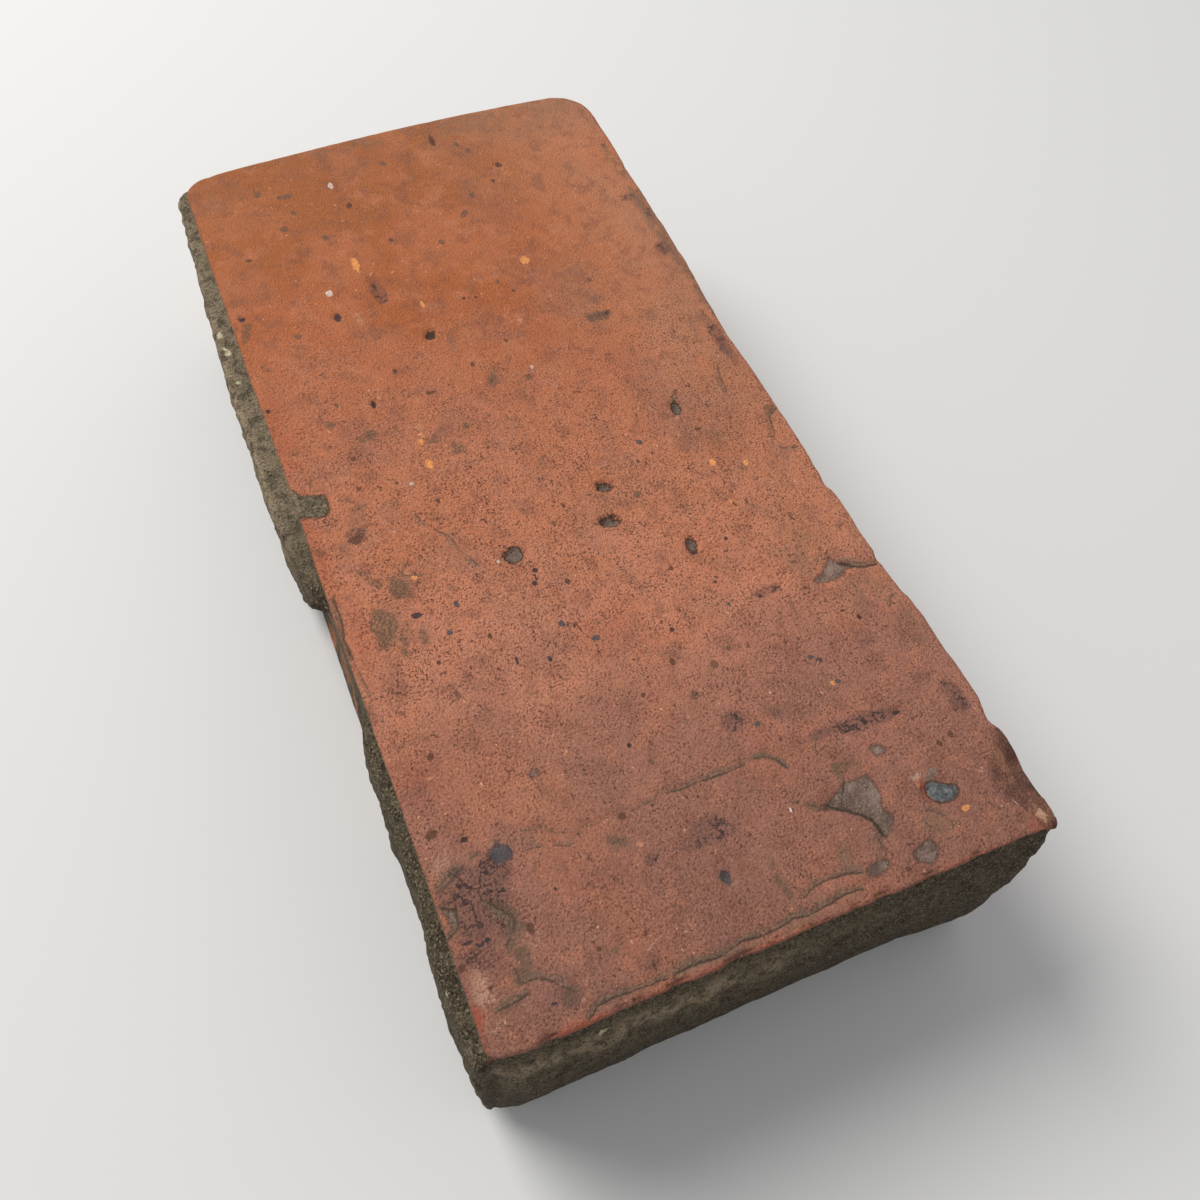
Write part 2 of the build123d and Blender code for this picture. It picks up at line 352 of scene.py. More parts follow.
FILM = [
    [22.6, 7.8, 21.4, 9.8, 19, 11.8, 16.4, 11.8, 14.6, 10, 12.7, 10.4, 10.4, 10, 9.2, 8.8, 9.6, 7.9,
     12.7, 8, 14.9, 7.4, 16.4, 9.4, 18.2, 10.2, 20.6, 8.6, 22, 6.6],
    [16.2, 64.6, 17, 62.2, 18.6, 60.2, 19.8, 59.6, 18.6, 61.8, 17.5, 64.4],
    [3.2, 13, 4.2, 12.6, 5, 13.6, 6.2, 13.9, 5.6, 15.4, 4, 15.4, 3.2, 14.6],
    [7.4, 20.6, 8.6, 20.8, 9.2, 23, 9.2, 25.4, 8.6, 24.6, 7.8, 23],
    [71.2, 6, 74.5, 5, 78.8, 6.6, 77.8, 8.8, 75.6, 9.8, 73.4, 8.6, 71, 7.2],
    [68, 12.8, 70.4, 12.8, 72.6, 12.6, 73.6, 13.8, 71, 14.6, 69, 14],
    [66.5, 8.8, 69, 8.2, 72, 9.6, 71, 10.8, 67.6, 10.4],
    [79, 12.4, 80.6, 11, 83, 10.6, 84.2, 12, 82.2, 13.6, 79.6, 14],
    [82.8, 8.6, 84.4, 7, 85.4, 7.8, 84.8, 9.6, 83.2, 10],
    [150.6, 1, 154, 0.8, 156.6, 2.2, 157, 4.4, 154.6, 4.2, 152.4, 3],
    [141, 3.8, 142.2, 2.8, 144.4, 2.4, 145.4, 1.8, 143.8, 3.5],
    [116.4, 17.8, 117.4, 15.4, 119, 15.6, 119.8, 17.4, 119.4, 19.4, 117.8, 20.2],
    [122.4, 11, 123.4, 10.4, 124.2, 12.2, 122.8, 13.2],
    [103.2, 8.6, 104.6, 8, 105.2, 9.6, 103.8, 10.4],
    [20.5, 69.4, 22, 69, 23, 70, 22.2, 72.8, 21.2, 73.6, 21.6, 71.4],
    [3, 52.4, 5, 51.2, 7.4, 50.9, 9.2, 50.5, 9.2, 51.3, 6.6, 51.9, 4, 52.8],
    [10.3, 50.8, 11.6, 51.3, 13.4, 51.1, 12.2, 51.8, 11, 52.2],
    [23.4, 54, 24.6, 53.8, 24.8, 55.2, 23.6, 55.4],
    [25.2, 52.6, 26.8, 52.2, 26.6, 53.2, 25.2, 53.8],
    [23.8, 58, 25.2, 58.2, 25.1, 59.4, 23.8, 59.3],
    [28.3, 56.8, 29.4, 57, 29.2, 59.6, 28.2, 59.8],
    [25, 61.6, 26.8, 60.6, 27.8, 60.1, 27.2, 61.4, 25.7, 62.2],
    [34.2, 65.2, 36, 63.4, 36.8, 63.4, 36.4, 64.8, 35.2, 65.6],
    [38.2, 49.4, 39.6, 48.6, 40.6, 49.6, 39, 50.2],
    [40.4, 48.8, 42.2, 48, 42.2, 48.8, 41, 49.6],
    [195.2, 14.2, 199.6, 13.9, 200.4, 15.2, 196.2, 16],
    [108, 32.4, 110.8, 32.2, 110.4, 33.6, 108.4, 34],
    [101, 36.4, 102.4, 35, 103, 36.2, 101.6, 37.1],
    [92.2, 0.6, 94.6, 0.6, 94.4, 1.7, 92.6, 1.6],
    [23.4, 29, 24.6, 28.2, 25.2, 30, 24.2, 32, 23.2, 31.2],
    [122, 45, 124.6, 44.4, 127, 45.4, 125.2, 46.8, 122.8, 46.6],
    [112.6, 28.2, 114.6, 27.8, 114.4, 30.2, 112.8, 30],
    [86.4, 6, 88, 5.6, 88.2, 7.4, 86.8, 7.6],
    [6, 4, 6.8, 3.6, 7.2, 6.6, 6.6, 8.2, 6, 6.4],
    [134, 71.8, 135.8, 71.4, 136.4, 75, 135, 77, 133.4, 75.4],
    [92.6, 93.6, 93.8, 93.8, 94, 94.8, 92.8, 94.6],
    [96.6, 95.6, 98.6, 96.4, 98.8, 98, 97.4, 97.6],
]
# Soft patches: half sizes and strength
GRIME = [
    (23, 6, 7.5, 6, 0.95), (27.2, 10, 3.4, 3.6, 0.9), (14.5, 4, 4, 4.5, 0.5),
    (19, 26, 3.2, 5.6, 0.42), (19.2, 34, 0.9, 1.6, 0.9), (20.4, 45.2, 3.4, 5.6, 0.5),
    (28.2, 78, 1.9, 5.8, 0.68), (28.7, 70.8, 1.2, 4.2, 0.55), (27.8, 82.4, 1.7, 3, 0.7),
    (36.3, 57.2, 2.2, 3.2, 0.75), (34.8, 68, 3, 4.5, 0.35), (42.5, 87.5, 3, 2.8, 0.4),
    (32, 93, 1.6, 3, 0.45), (26, 96.6, 4.5, 2.6, 0.7), (57.8, 75, 1.3, 3.2, 0.6),
    (135, 75, 1.4, 3.4, 0.6), (139.6, 75.6, 1.6, 3.2, 0.4), (146, 76, 1.8, 1.8, 0.5),
    (120, 96.4, 10, 2, 0.6), (150.5, 97.2, 2.8, 2.4, 0.65), (169.5, 96.6, 1.6, 2.8, 0.5),
    (4.6, 27, 2.6, 3, 0.4), (96.5, 8.5, 1.4, 2.4, 0.7), (53, 53, 2.6, 3, 0.45),
    (43, 53, 1.6, 1.8, 0.5), (19, 41, 1.6, 2.6, 0.5), (44, 4, 2.5, 3, 0.45),
    (5.5, 14, 3.5, 2.5, 0.5), (157.5, 31.5, 6, 2, 0.58), (126.5, 28, 2, 2, 0.4),
    (134.5, 72, 1.2, 1.2, 0.5), (160, 98.8, 60, 1.2, 0.35),
]
HAZE = [
    (64, 86, 6.5, 8, 0.45), (52, 92, 4.5, 5, 0.5), (41.5, 97.2, 4.2, 2.6, 1),
    (29.4, 17.5, 2, 4.5, 0.6), (24, 30, 2, 3, 0.5), (31, 29, 9, 12, 0.2), (100, 84, 10, 9, 0.2),
    (75, 9, 7, 3, 0.4), (82, 11, 4, 4, 0.4), (13, 9.6, 5, 1.6, 0.7), (7.5, 80.5, 2.6, 3, 0.6),
    (8, 63.4, 2.4, 2, 0.6), (36, 55, 7, 2, 0.4), (208, 60, 4.5, 42, 0.6), (36, 72, 5, 8, 0.2),
    (1.8, 40, 1.3, 27, 0.75), (120, 94, 16, 4, 0.35), (125, 46.5, 3, 2, 0.5),
    (136.5, 41.6, 3, 1.2, 0.5), (100, 10, 3, 3, 0.2), (16, 9.6, 4, 1.4, 0.4), (206, 85, 9, 18, 0.4),
    (165, 98.6, 45, 2, 0.75), (200, 6, 9, 7, 0.3), (143, 74, 11, 6, 0.3), (48, 34, 4, 4, 0.15),
]
RED = [
    (7, 0.2, 2, 1.6, 1), (4, -0.4, 3.6, 0.7, 0.9), (95, 0.5, 9.5, 2.2, 0.6), (0.3, 13.5, 0.8, 5, 1),
    (76, 2.4, 12, 3.4, 0.4), (125, 1.5, 14, 3.5, 0.35), (45, 3.5, 5, 4, 0.3),
    (0.2, 40, 0.6, 22, 0.5), (17.5, 66.5, 1.5, 1.5, 0.2), (12, 2, 3, 2.4, 0.25),
    (60, 44, 6, 8, 0.2), (118, 70, 9, 9, 0.2), (0.9, 96.6, 1.8, 2.4, 0.6),
    (13.6, 81.9, 2, 0.9, 0.7), (0.2, 84, 0.5, 9, 0.4),
]
PALE = [
    (10, 2.4, 5, 1.8, 0.9), (5.5, 2.6, 2, 2, 0.4), (15, 12, 2.5, 1.4, 0.4), (30, 3.5, 3, 2.5, 0.4),
]
# Small spots, by their colour and how dark their rim is: half sizes and turn in degrees
SPOTS = {
    ((112, 102, 90), 1): [(82.9, 54.2, 1.3, 2.2, 12), (72.9, 66.7, 1.7, 1.1, 8),
        (81.8, 34.3, 1.9, 2.2), (104.9, 78.8, 2, 1.1, 10), (91, 56.6, 1.2, 1.8, 20)],
    ((60, 50, 46), 0): [(71, 66.4, 0.8, 0.9), (141, 37.8, 1.2, 1.2), (126, 21, 0.9, 0.6),
        (33.2, 7.5, 0.6, 0.6), (130.8, 0.9, 0.6, 0.4), (38.7, 38.7, 0.5, 0.4, 30),
        (27.5, 37.8, 0.3, 0.25), (20.4, 17.9, 0.25, 0.25), (56.6, 55.1, 0.6, 0.4),
        (47, 88.8, 0.5, 0.4), (28, 78.5, 0.7, 0.5), (27.6, 85, 0.5, 0.7), (63.5, 38.9, 0.4, 0.3),
        (71.4, 73.4, 0.45, 0.45), (57.4, 73.6, 0.4, 0.5)],
    ((82, 81, 83), 0.25): [(28.9, 12, 1.9, 1.7, 10), (12.2, 43.7, 1.3, 0.9, 10),
        (42.6, 76.1, 0.45, 0.6, 20), (59.9, 41.4, 0.6, 0.8), (36.6, 78.2, 0.5, 0.5),
        (34.3, 60.8, 0.5, 0.5), (69.9, 17.8, 0.6, 0.6), (75.2, 20.8, 0.9, 0.5),
        (64.7, 37, 0.7, 0.6), (58, 67.2, 0.4, 0.4), (98.9, 67.6, 0.8, 0.5, -20)],
    ((62, 55, 60), 0): [(75.5, 13.6, 0.6, 1.1), (58.8, 32.3, 0.6, 0.45), (74.6, 35.7, 0.6, 0.55),
        (77.3, 36.8, 0.6, 0.45), (63.2, 67, 0.45, 0.4), (41.4, 77.4, 0.5, 0.4),
        (16.9, 5.5, 0.5, 0.5), (16.6, 4.1, 0.3, 0.3), (17.6, 2.6, 0.3, 0.8), (4.5, 11.4, 0.3, 0.5),
        (157.8, 2.2, 0.8, 0.8), (152.2, 21, 1.2, 0.8), (60.7, 26.8, 0.9, 0.3)],
    ((104, 68, 52), 0): [(46.5, 44.8, 0.5, 0.45), (125.2, 32.8, 0.4, 1.1), (148, 59.3, 0.5, 0.4),
        (149.2, 48.2, 0.5, 0.5), (148.6, 50.8, 0.5, 0.4), (134.2, 52.4, 0.6, 0.4),
        (130, 43.4, 0.7, 0.4, 20), (203.6, 59.2, 1.9, 0.7, 5), (190.2, 71.4, 0.9, 0.8),
        (66.9, 24.2, 0.6, 0.4), (64.9, 14, 0.5, 0.4), (172, 39, 0.6, 0.5), (50.6, 52.4, 0.8, 0.5),
        (48.6, 7.2, 0.6, 0.6), (89.2, 47.2, 0.7, 0.4), (94.4, 65.3, 0.5, 0.35),
        (68.8, 60.5, 0.5, 0.5), (184.6, 68, 0.8, 0.4), (27.6, 32.4, 0.8, 0.7),
        (72.9, 41.4, 0.7, 0.5), (175, 7.8, 0.6, 0.8), (98.2, 80.4, 0.5, 0.6),
        (49.2, 86.6, 0.3, 0.5), (105.1, 19.2, 0.4, 0.4), (98.4, 25.2, 0.6, 0.4),
        (133.2, 27.7, 0.7, 0.4), (186.2, 33.5, 1.1, 0.6, 15), (16.2, 12.1, 1, 0.7),
        (95, 8.2, 1.1, 1.4), (113.6, 13.2, 0.6, 0.5), (20.4, 91.6, 0.7, 0.5), (35.8, 3, 0.9, 1),
        (19.6, 88.8, 0.6, 0.5), (90.8, 32, 0.8, 0.3), (2.3, 71.8, 0.5, 0.5), (10.1, 3.5, 0.4, 0.4),
        (16.4, 12.3, 0.5, 0.5), (9.4, 20.6, 0.4, 0.4), (14.4, 0.5, 0.6, 0.6)],
    ((128, 90, 68), 0): [(182.6, 17.6, 1.1, 1), (193.6, 20.6, 1, 1.9), (198.6, 45.2, 0.9, 0.9),
        (197.4, 66.2, 1.1, 0.7), (200.4, 64.2, 1.1, 0.6), (175.4, 57.4, 1.5, 0.8, 35),
        (181.2, 61.4, 1.2, 0.7, 20), (151.9, 57, 0.6, 0.4, 20), (123, 53.2, 1, 0.8, 30),
        (128, 14, 0.7, 0.5), (149, 11.8, 0.8, 0.7), (177.2, 25.5, 0.9, 0.7),
        (114.4, 36.5, 0.8, 0.7), (103.3, 85.1, 0.6, 0.5), (187.6, 21, 0.8, 0.6),
        (77.9, 81.2, 1, 0.35), (72.2, 87.8, 0.8, 0.35), (86.8, 61.8, 0.6, 0.9, -35),
        (62, 83.2, 0.4, 0.7, 20), (58, 15, 1, 0.5), (85.9, 43.9, 0.6, 0.5), (34.6, 40.8, 0.6, 0.5),
        (49.6, 63, 0.5, 0.5), (47.6, 59, 0.8, 0.7), (168, 49.5, 1, 0.7), (109, 80.4, 0.9, 0.6, 40)],
    ((246, 162, 92), 0): [(166.7, 29.2, 2.3, 0.9), (107.6, 26.5, 1.4, 0.7), (113.6, 26.8, 0.8, 0.6),
        (150.2, 39.2, 1.3, 0.4), (156.4, 65.2, 1.3, 1), (83.2, 15.6, 0.5, 0.5),
        (7.9, 86.5, 0.5, 0.8), (89.1, 79.3, 0.9, 0.7), (86.8, 85.6, 0.7, 0.6),
        (79.2, 78.3, 0.5, 0.3), (36.6, 77.3, 0.5, 0.4)],
    ((200, 134, 98), 0): [(117, 27.5, 1.1, 0.6), (150.3, 25.1, 1.9, 0.6), (139, 57.3, 0.9, 0.7),
        (98, 76, 0.8, 0.4), (94, 11.6, 0.8, 0.4), (191.8, 8.9, 0.6, 0.4), (22.2, 33.2, 0.5, 0.6),
        (41, 28.2, 0.5, 0.4), (51.5, 28.8, 0.7, 0.8, 30), (45, 5.8, 0.3, 0.6),
        (14.5, 81.2, 0.8, 0.4, 20), (17.6, 23, 0.3, 0.3)],
    ((228, 204, 184), 0): [(159.6, 21.3, 1, 0.7, 10), (194.4, 31.4, 1.1, 0.6),
        (104.1, 21.8, 0.45, 0.45), (81.3, 31, 0.28, 0.26), (38.9, 65.8, 0.24, 0.3),
        (18.4, 58.7, 0.5, 0.25), (125.4, 54.8, 0.5, 0.25)],
    ((150, 123, 108), 0): [(15.25, 84.3, 0.8, 1.5, -15)],
    ((192, 158, 138), 0): [(6.5, 27.7, 0.22, 0.3), (6.9, 28.4, 0.16, 0.3), (6.2, 27.2, 0.14, 0.2),
        (7.3, 29.2, 0.16, 0.2), (6.8, 34, 0.16, 0.35), (6.9, 35, 0.14, 0.25),
        (5.4, 95.45, 1.1, 0.12, -13), (13, 93.2, 0.22, 0.2), (5.9, 92.6, 0.22, 0.18),
        (16.2, 82.2, 0.3, 0.25), (15.8, 81, 0.25, 0.5, 20)],
    ((212, 164, 134), 0.3): [(2.2, 98.6, 1.2, 1.1, 20)],
}


def inside_by(outline, u, v):
    """How far inside an outline each point is, below 0 outside it."""
    nearest, inside = np.full(len(u), 1e9), np.zeros(len(u), bool)
    corners = np.reshape(outline, (-1, 2))
    for (x0, y0), (x1, y1) in zip(corners, np.roll(corners, -1, 0)):
        dx, dy = x1 - x0, y1 - y0
        t = np.clip(((u - x0) * dx + (v - y0) * dy) / (dx * dx + dy * dy), 0, 1)
        nearest = np.minimum(nearest, np.hypot(u - x0 - t * dx, v - y0 - t * dy))
        if dy:
            inside ^= ((y0 > v) != (y1 > v)) & (u < dx * (v - y0) / dy + x0)
    return np.where(inside, nearest, -nearest)


def from_path(path, u, v):
    """The signed distance to a path's side, how far past its ends, and the plain distance."""
    nearest, signed, past = np.full(len(u), 1e9), np.zeros(len(u)), np.zeros(len(u))
    for k, ((x0, y0), (x1, y1)) in enumerate(zip(path[:-1], path[1:])):
        reach = math.hypot(x1 - x0, y1 - y0)
        tx, ty = (x1 - x0) / reach, (y1 - y0) / reach
        run = (u - x0) * tx + (v - y0) * ty
        side = (u - x0) * ty - (v - y0) * tx
        over = np.where(run < 0, -run, np.where(run > reach, run - reach, 0.0))
        distance = np.hypot(side, over)
        closer = distance < nearest
        first, last = k == 0, k == len(path) - 2
        end = ((run < 0) & first) | ((run > reach) & last)
        nearest = np.where(closer, distance, nearest)
        signed = np.where(closer, np.where(end, side, np.sign(side) * distance), signed)
        past = np.where(closer, np.where(end, over, 0.0), past)
    return signed, past, nearest


def soft(patches, u, v, wobble):
    """The strongest of soft oval patches with a wobbly edge."""
    total = np.zeros(len(u))
    for pu, pv, ru, rv, strength in patches:
        reach = np.hypot((u - pu) / ru, (v - pv) / rv) + 0.28 * wobble
        total = np.maximum(total, strength * smooth(1.25, 0.45, reach))
    return total


def turned(u, v, pu, pv, ru, rv, turn=0):
    """Places as seen from an oval, in shares of its half sizes."""
    c, s = math.cos(math.radians(turn)), math.sin(math.radians(turn))
    return ((u - pu) * c + (v - pv) * s) / ru, ((v - pv) * c - (u - pu) * s) / rv


# Shape: every vertex starts from the plain form and is moved by what the photo shows
plain_u, plain_v = points[:, 0], points[:, 1]
u, v, z = points.T.copy()
nu, nv, nz = normals.T.copy()
total = len(points)
is_wall = np.arange(total) < len(rows) * count
row_of = np.where(is_wall, np.arange(total) // count, -1)
bed_share = np.where(row_of == -1, (nz > 0).astype(float), 0.0)
for k, (kind, angle, _) in enumerate(rows):
    if kind == "top":
        bed_share[row_of == k] = math.sin(math.radians(angle))
plane = np.stack([u, v, np.zeros(total)], 1)

# What stands for far outside an outline, or far from a crack
FAR_OFF, FAR_SIDE = -9, 9.0

# Bed face: slow waves, grain, pits, cracks and sunken mortar
bed_z = 0.14 * lumpy(plane, 38, 2, 21) + 0.06 * lumpy(plane, 7, 3, 22)
bed_z += 0.035 * lumpy(plane, 1.9, 2, 23)
bed_z -= 0.15 * smooth(200, 211, u) + 0.25 * smooth(20, 0, u) * smooth(70, 100, v)
wobble = lumpy(plane, 2.6, 3, 31)
for pu, pv, ru, rv, depth, *turn in PITS:
    x, y = turned(u, v, pu, pv, ru, rv, *turn)
    bed_z -= depth * smooth(1.25, 0.5, np.hypot(x, y) + 0.18 * wobble)
crack_side, crack_keep = np.full((total, 3), FAR_SIDE), np.zeros((total, 3))
crack_reached = np.full((total, 3), 1e9)
placed, APART = [], 5
for path, half, darkness, depth in CRACKS:
    path = np.reshape(path, (-1, 2))
    signed, past, nearest = from_path(path, u, v)
    bed_z -= depth * np.exp(-(nearest / (half + 0.35)) ** 2) * smooth(1.6, 0.2, past)
    # Cracks that run close together go to different channels
    used = [0, 0, 0]
    for other, channel in placed:
        gap = np.hypot(*(path[:, None] - other[None]).transpose(2, 0, 1)).min()
        used[channel] += gap < APART
    channel = used.index(min(used))
    placed.append((path, channel))
    closer = nearest < crack_reached[:, channel]
    crack_reached[closer, channel] = nearest[closer]
    crack_side[closer, channel] = (signed / half)[closer]
    share = darkness * smooth(2.2, 1.4, nearest) * smooth(1.2, 0, past)
    crack_keep[closer, channel] = share[closer]
mortar, film = (np.max([inside_by(outline, u, v) for outline in outlines], 0).clip(FAR_OFF)
                for outlines in (MORTAR, FILM))
bed_z -= 0.22 * smooth(-0.5, 0.5, mortar) - 0.12 * smooth(0, 1.5, mortar)
stone = inside_by(STONE, u, v)
stone_z = -1.4 + 1.35 * smooth(-0.5, 1.1, stone)
bed_z = np.where(stone > -0.5, np.maximum(bed_z, stone_z), bed_z)
z += bed_z * bed_share

# Soft patches, felt slightly as well as seen
patch_noise = lumpy(plane, 3.2, 4, 41)
grime, haze, red, pale_patch = (soft(patches, u, v, patch_noise)
                                for patches in (GRIME, HAZE, RED, PALE))
z -= 0.25 * grime * bed_share * (0.5 + 1.2 * lumpy(plane, 2.6, 2, 43))

# Which of the sides a wall point belongs to
span = np.maximum(np.hypot(nu, nv), 1e-9)
on_straight = smooth(0.5, 0.85, -nv / span) * (span > 0.1)
on_near = smooth(0.5, 0.85, -nu / span) * (span > 0.1)
on_wall = row_of >= TOP_ROWS - 1
place = np.stack([u, v, z], 1)
lumps = lumpy(place, 11, 3, 51)
clods = lumpy(place, 4, 3, 52)
sand = lumpy(place, 1.5, 2, 53)

# Crust on the straight side: how far it stands out, by place along the brick. Lower
# down it thins out, and the far slab's broken end slants away from the near end.
THICKNESS = [(-3, 1.4), (0, 2), (6, 2.4), (12, 2.8), (22, 2.7), (30, 2), (46, 2.3), (54, 2.2),
             (57.5, 1.8), (60, 0.6), (63, 0.1), (70, 0), (80, 0.2), (82.4, 0.5), (84, 2.6),
             (88, 3.2), (92, 3.5), (98, 4.1), (111, 4.6), (126, 4.5), (145, 4.1), (161, 3.6),
             (175, 3.2), (191, 2.6), (200, 2.6), (205, 2), (209, 0.6), (213, 0)]
# The share of it that each row of the ledge stands out
LEDGE_OUT = (0.05, 0.18, 0.34, 0.52, 0.7, 0.84, 0.94, 0.99, 1)
# The bare patch starts at the near slab and ends at the far slab's slanted end
BARE_START, BARE_END, BARE_MIDDLE = 57, 118, 70
line = np.stack([u, 0 * u, 0 * u], 1)
stand = np.maximum(curve(THICKNESS, u), 0)
stand += 0.45 * lumpy(line, 9, 3, 61) * smooth(0.3, 1.5, stand)
stand -= 0.03 * np.clip(45 - z, 0, 45)
from_end = u - (82.5 + 31 * (49 - z) / 45 + 2.5 * clods)
most = 0.4 + 2 * smooth(-0.5, 2.5, from_end) + 0.085 * np.maximum(from_end, 0)
stand = np.where(u > BARE_MIDDLE, np.minimum(stand, most), stand)
stand = np.maximum(stand, 0) * np.where(u > BARE_MIDDLE, smooth(-1.5, 1, from_end), 1)
ledge = np.where(row_of >= TOP_ROWS, 1.0, 0.0)
for k, share in enumerate(LEDGE_OUT):
    ledge[row_of == TOP_ROWS + k] = share
base_fade = smooth(0, 6 + 4 * lumps, z)
reach = stand * on_straight * ledge * base_fade
thick = smooth(0.15, 1.2, stand) * on_straight
relief = (0.55 - 0.25 * smooth(80, 90, u)) * clods + 0.34 * sand + 0.35 * lumps
relief = on_straight * ledge * (0.25 + 0.75 * thick) * relief
bumps = 0.9 * lumpy(place, 9, 4, 57) - 0.3 * np.abs(clods)
relief += on_straight * thick * smooth(47, 38, z) * bumps
bare = on_straight * (1 - thick) * (u > BARE_START) * (u < BARE_END)
relief -= bare * 1.6 * smooth(44, 8, z) * (0.35 + 0.65 * smooth(0, 8, z))

# Near end: a groove under the arris, a ridge, then a smoother lower part
END = [(0, 0), (4, 0.2), (8, 0.7), (14, 1), (20, 1.1), (24, 1.4), (28, 1.9), (31.5, 2.1), (35, 1.8),
       (39, 1), (42, 0.2), (44.5, -0.5), (46.5, -0.9), (48, -0.6), (49.2, 0), (50, 0)]
ridge_shift = 1.6 * lumpy(np.stack([0 * v, v, 0 * v], 1), 22, 2, 71)
end_out = curve(END, z + ridge_shift * smooth(46, 38, z) * smooth(4, 14, z))
end_fade = smooth(-0.5, 3.5, v) * smooth(102, 98, v)
corner_lump = 1.3 * smooth(78, 97, v) * smooth(2, 8, z) * smooth(34, 22, z)
end_rough = ((0.42 * clods + 0.34 * sand) * smooth(24, 32, z)
             + 0.16 * clods + 0.12 * sand + 0.3 * lumps)
reach += on_near * (end_out + corner_lump + end_rough * smooth(50, 47, z)) * end_fade

# The other sides are plain fired clay, slightly uneven. By the near end, the hollow
# side stands out a little below its worn arris.
plain_side = np.clip(1 - on_near - on_straight, 0, 1)
bulge = 1.5 * smooth(22, 13, u) * smooth(88, 98, v) * smooth(24, 42, z)
reach += np.clip(plain_side + on_near * smooth(97, 100, v), 0, 1) * bulge
relief += plain_side * (0.16 * lumps + 0.1 * clods + 0.04 * sand) * smooth(50, 46, z) * (z > 0.2)
relief *= 0.4 + 0.6 * smooth(0, 3, z)
out = (reach + relief) * on_wall
u += out * nu / span
v += out * nv / span

# Arrises: small chips and crumbs, larger along the near end
on_near_arris = smooth(3, 0.5, plain_u) * smooth(1, 4, v) * smooth(99, 94, v)
nibble = lumpy(np.stack([0 * u, v, 0 * z], 1), 3, 4, 81)
nibble = np.clip(nibble - 0.02, 0, 1) * on_near_arris
z -= nibble * 1.5 * smooth(1.6, 0.4, u) * (z > LEDGE_BOTTOM)
u += nibble * 0.8 * is_wall * smooth(44, 49, z)
nibble = np.clip(lumpy(np.stack([u, v, z], 1), 3.4, 3, 82) - 0.18, 0, 1)
z -= is_wall * (row_of < TOP_ROWS) * (1 - on_near_arris) * nibble * 0.5

# Worn slope on the hollow side's top arris, ragged where it fades out
SLOPE_TOP = [(-3, 98.4), (1, 97.6), (3.5, 97), (5.5, 95.7), (13, 95.8), (15, 97.2),
             (18, 99.4), (21, 100.6)]
SLOPE_END, SOFT_EDGE = 21, 0.35
by_slope = u < SLOPE_END
hollow_v = curve(HOLLOW_SIDE, np.clip(u, 0, 211)) + 1.5 * smooth(22, 13, u)
worn = smooth(20.5, 13, u)
slope_w = 0.15 + np.clip(hollow_v - curve(SLOPE_TOP, u), 0, 8) * by_slope
slope_d = 0.15 + 2.7 * worn
over = (v - (hollow_v - slope_w)) / slope_w - (HEIGHT - z) / slope_d
over += (0.3 * clods + 0.16 * sand) * worn * smooth(-0.6, 0.2, over)
eased = (np.clip(over, -SOFT_EDGE, None) + SOFT_EDGE) ** 2 / (4 * SOFT_EDGE)
eased = np.where(over < SOFT_EDGE, eased, over)


def cut_back(share, width, depth):
    """The two moves square to a slope of that width and depth, by that share of it."""
    steep = np.hypot(1 / width, 1 / depth)
    move = share / steep
    return move / width / steep, move / depth / steep


move_v, move_z = cut_back(eased * by_slope * (z > 35), slope_w, slope_d)
v, z = v - move_v, z - move_z
worn_band = smooth(-0.55, 0.25, over) * by_slope * (z > 40)

# Knocked-off bottom corner by the straight side
knock_w = np.maximum(11 - 0.45 * (u + 4), 1)
knock_d = np.maximum(9.8 - 0.4 * (u + 4), 1)
under = 1 - (v + 2.6) / knock_w - z / knock_d + 0.06 * clods
move_v, move_z = cut_back(np.clip(under, 0, None) * smooth(20.5, 17.5, u), knock_w, knock_d)
v, z = v + move_v, z + move_z

# Chips out of the hollow side's top arris: place, radius of the ball and its bite
CHIPS = [(21.5, 101.3, 4, 1.3), (57.5, 99.6, 3, 1.1), (77.5, 99, 5, 0.9), (120.5, 99.1, 5, 0.8),
         (104, 99.3, 2.4, 0.5), (136, 99.8, 3, 0.5), (93, 99.2, 2, 0.5), (41, 100.6, 2.2, 0.4),
         (49.8, 99.8, 2.6, 0.7)]
for cu, cv, r, bite in CHIPS:
    lift = (r - bite) / math.sqrt(2)
    du, dv, dz = u - cu, v - cv - lift, z - HEIGHT - lift
    away = np.sqrt(du * du + dv * dv + dz * dz)
    push = np.clip(r - away + 0.15 * sand, 0, None) / np.maximum(away, 1e-6)
    u, v, z = u + du * push, v + dv * push, z + dz * push

z = np.clip(z, 0, HEIGHT + 0.4)

# Vertex values that the material reads. The crust ends raggedly round the far corner.
FAR_CORNER = 190
crust = np.where(row_of >= TOP_ROWS, 1.0, 0.0)
for k, share in ((1, 0.1), (2, 0.3), (3, 0.6)):
    crust[row_of == k] = share
ragged = lumpy(place, 7, 3, 93)
far_corner = smooth(4.2, 2.4, plain_v + 2.4 * ragged)
crust *= np.where(plain_u > FAR_CORNER, far_corner, np.clip(on_straight + on_near, 0, 1))
crust *= 1 - on_near * smooth(48, 48.8, z + 0.9 * lumpy(place, 5, 2, 91)) * is_wall
bare = on_straight * (1 - thick) * smooth(-0.1, 0.2, ragged) * smooth(47, 43, z)
crust *= 1 - 0.74 * bare * (plain_u < FAR_CORNER)
tab = smooth(-0.4, 0.6, inside_by(MORTAR[0], plain_u, plain_v)) * (z > 40)
crust = np.maximum(crust, tab)
# Paler crust: partly the far slab's own paler mortar and the mortar tab, partly painted light on
# its outer ledge
pale_and_lit_crust = on_straight * thick * smooth(84, 116, plain_u) * smooth(12, 30, z)
pale_and_lit_crust *= 0.75 + 0.35 * smooth(0.5, 0.95, ledge)
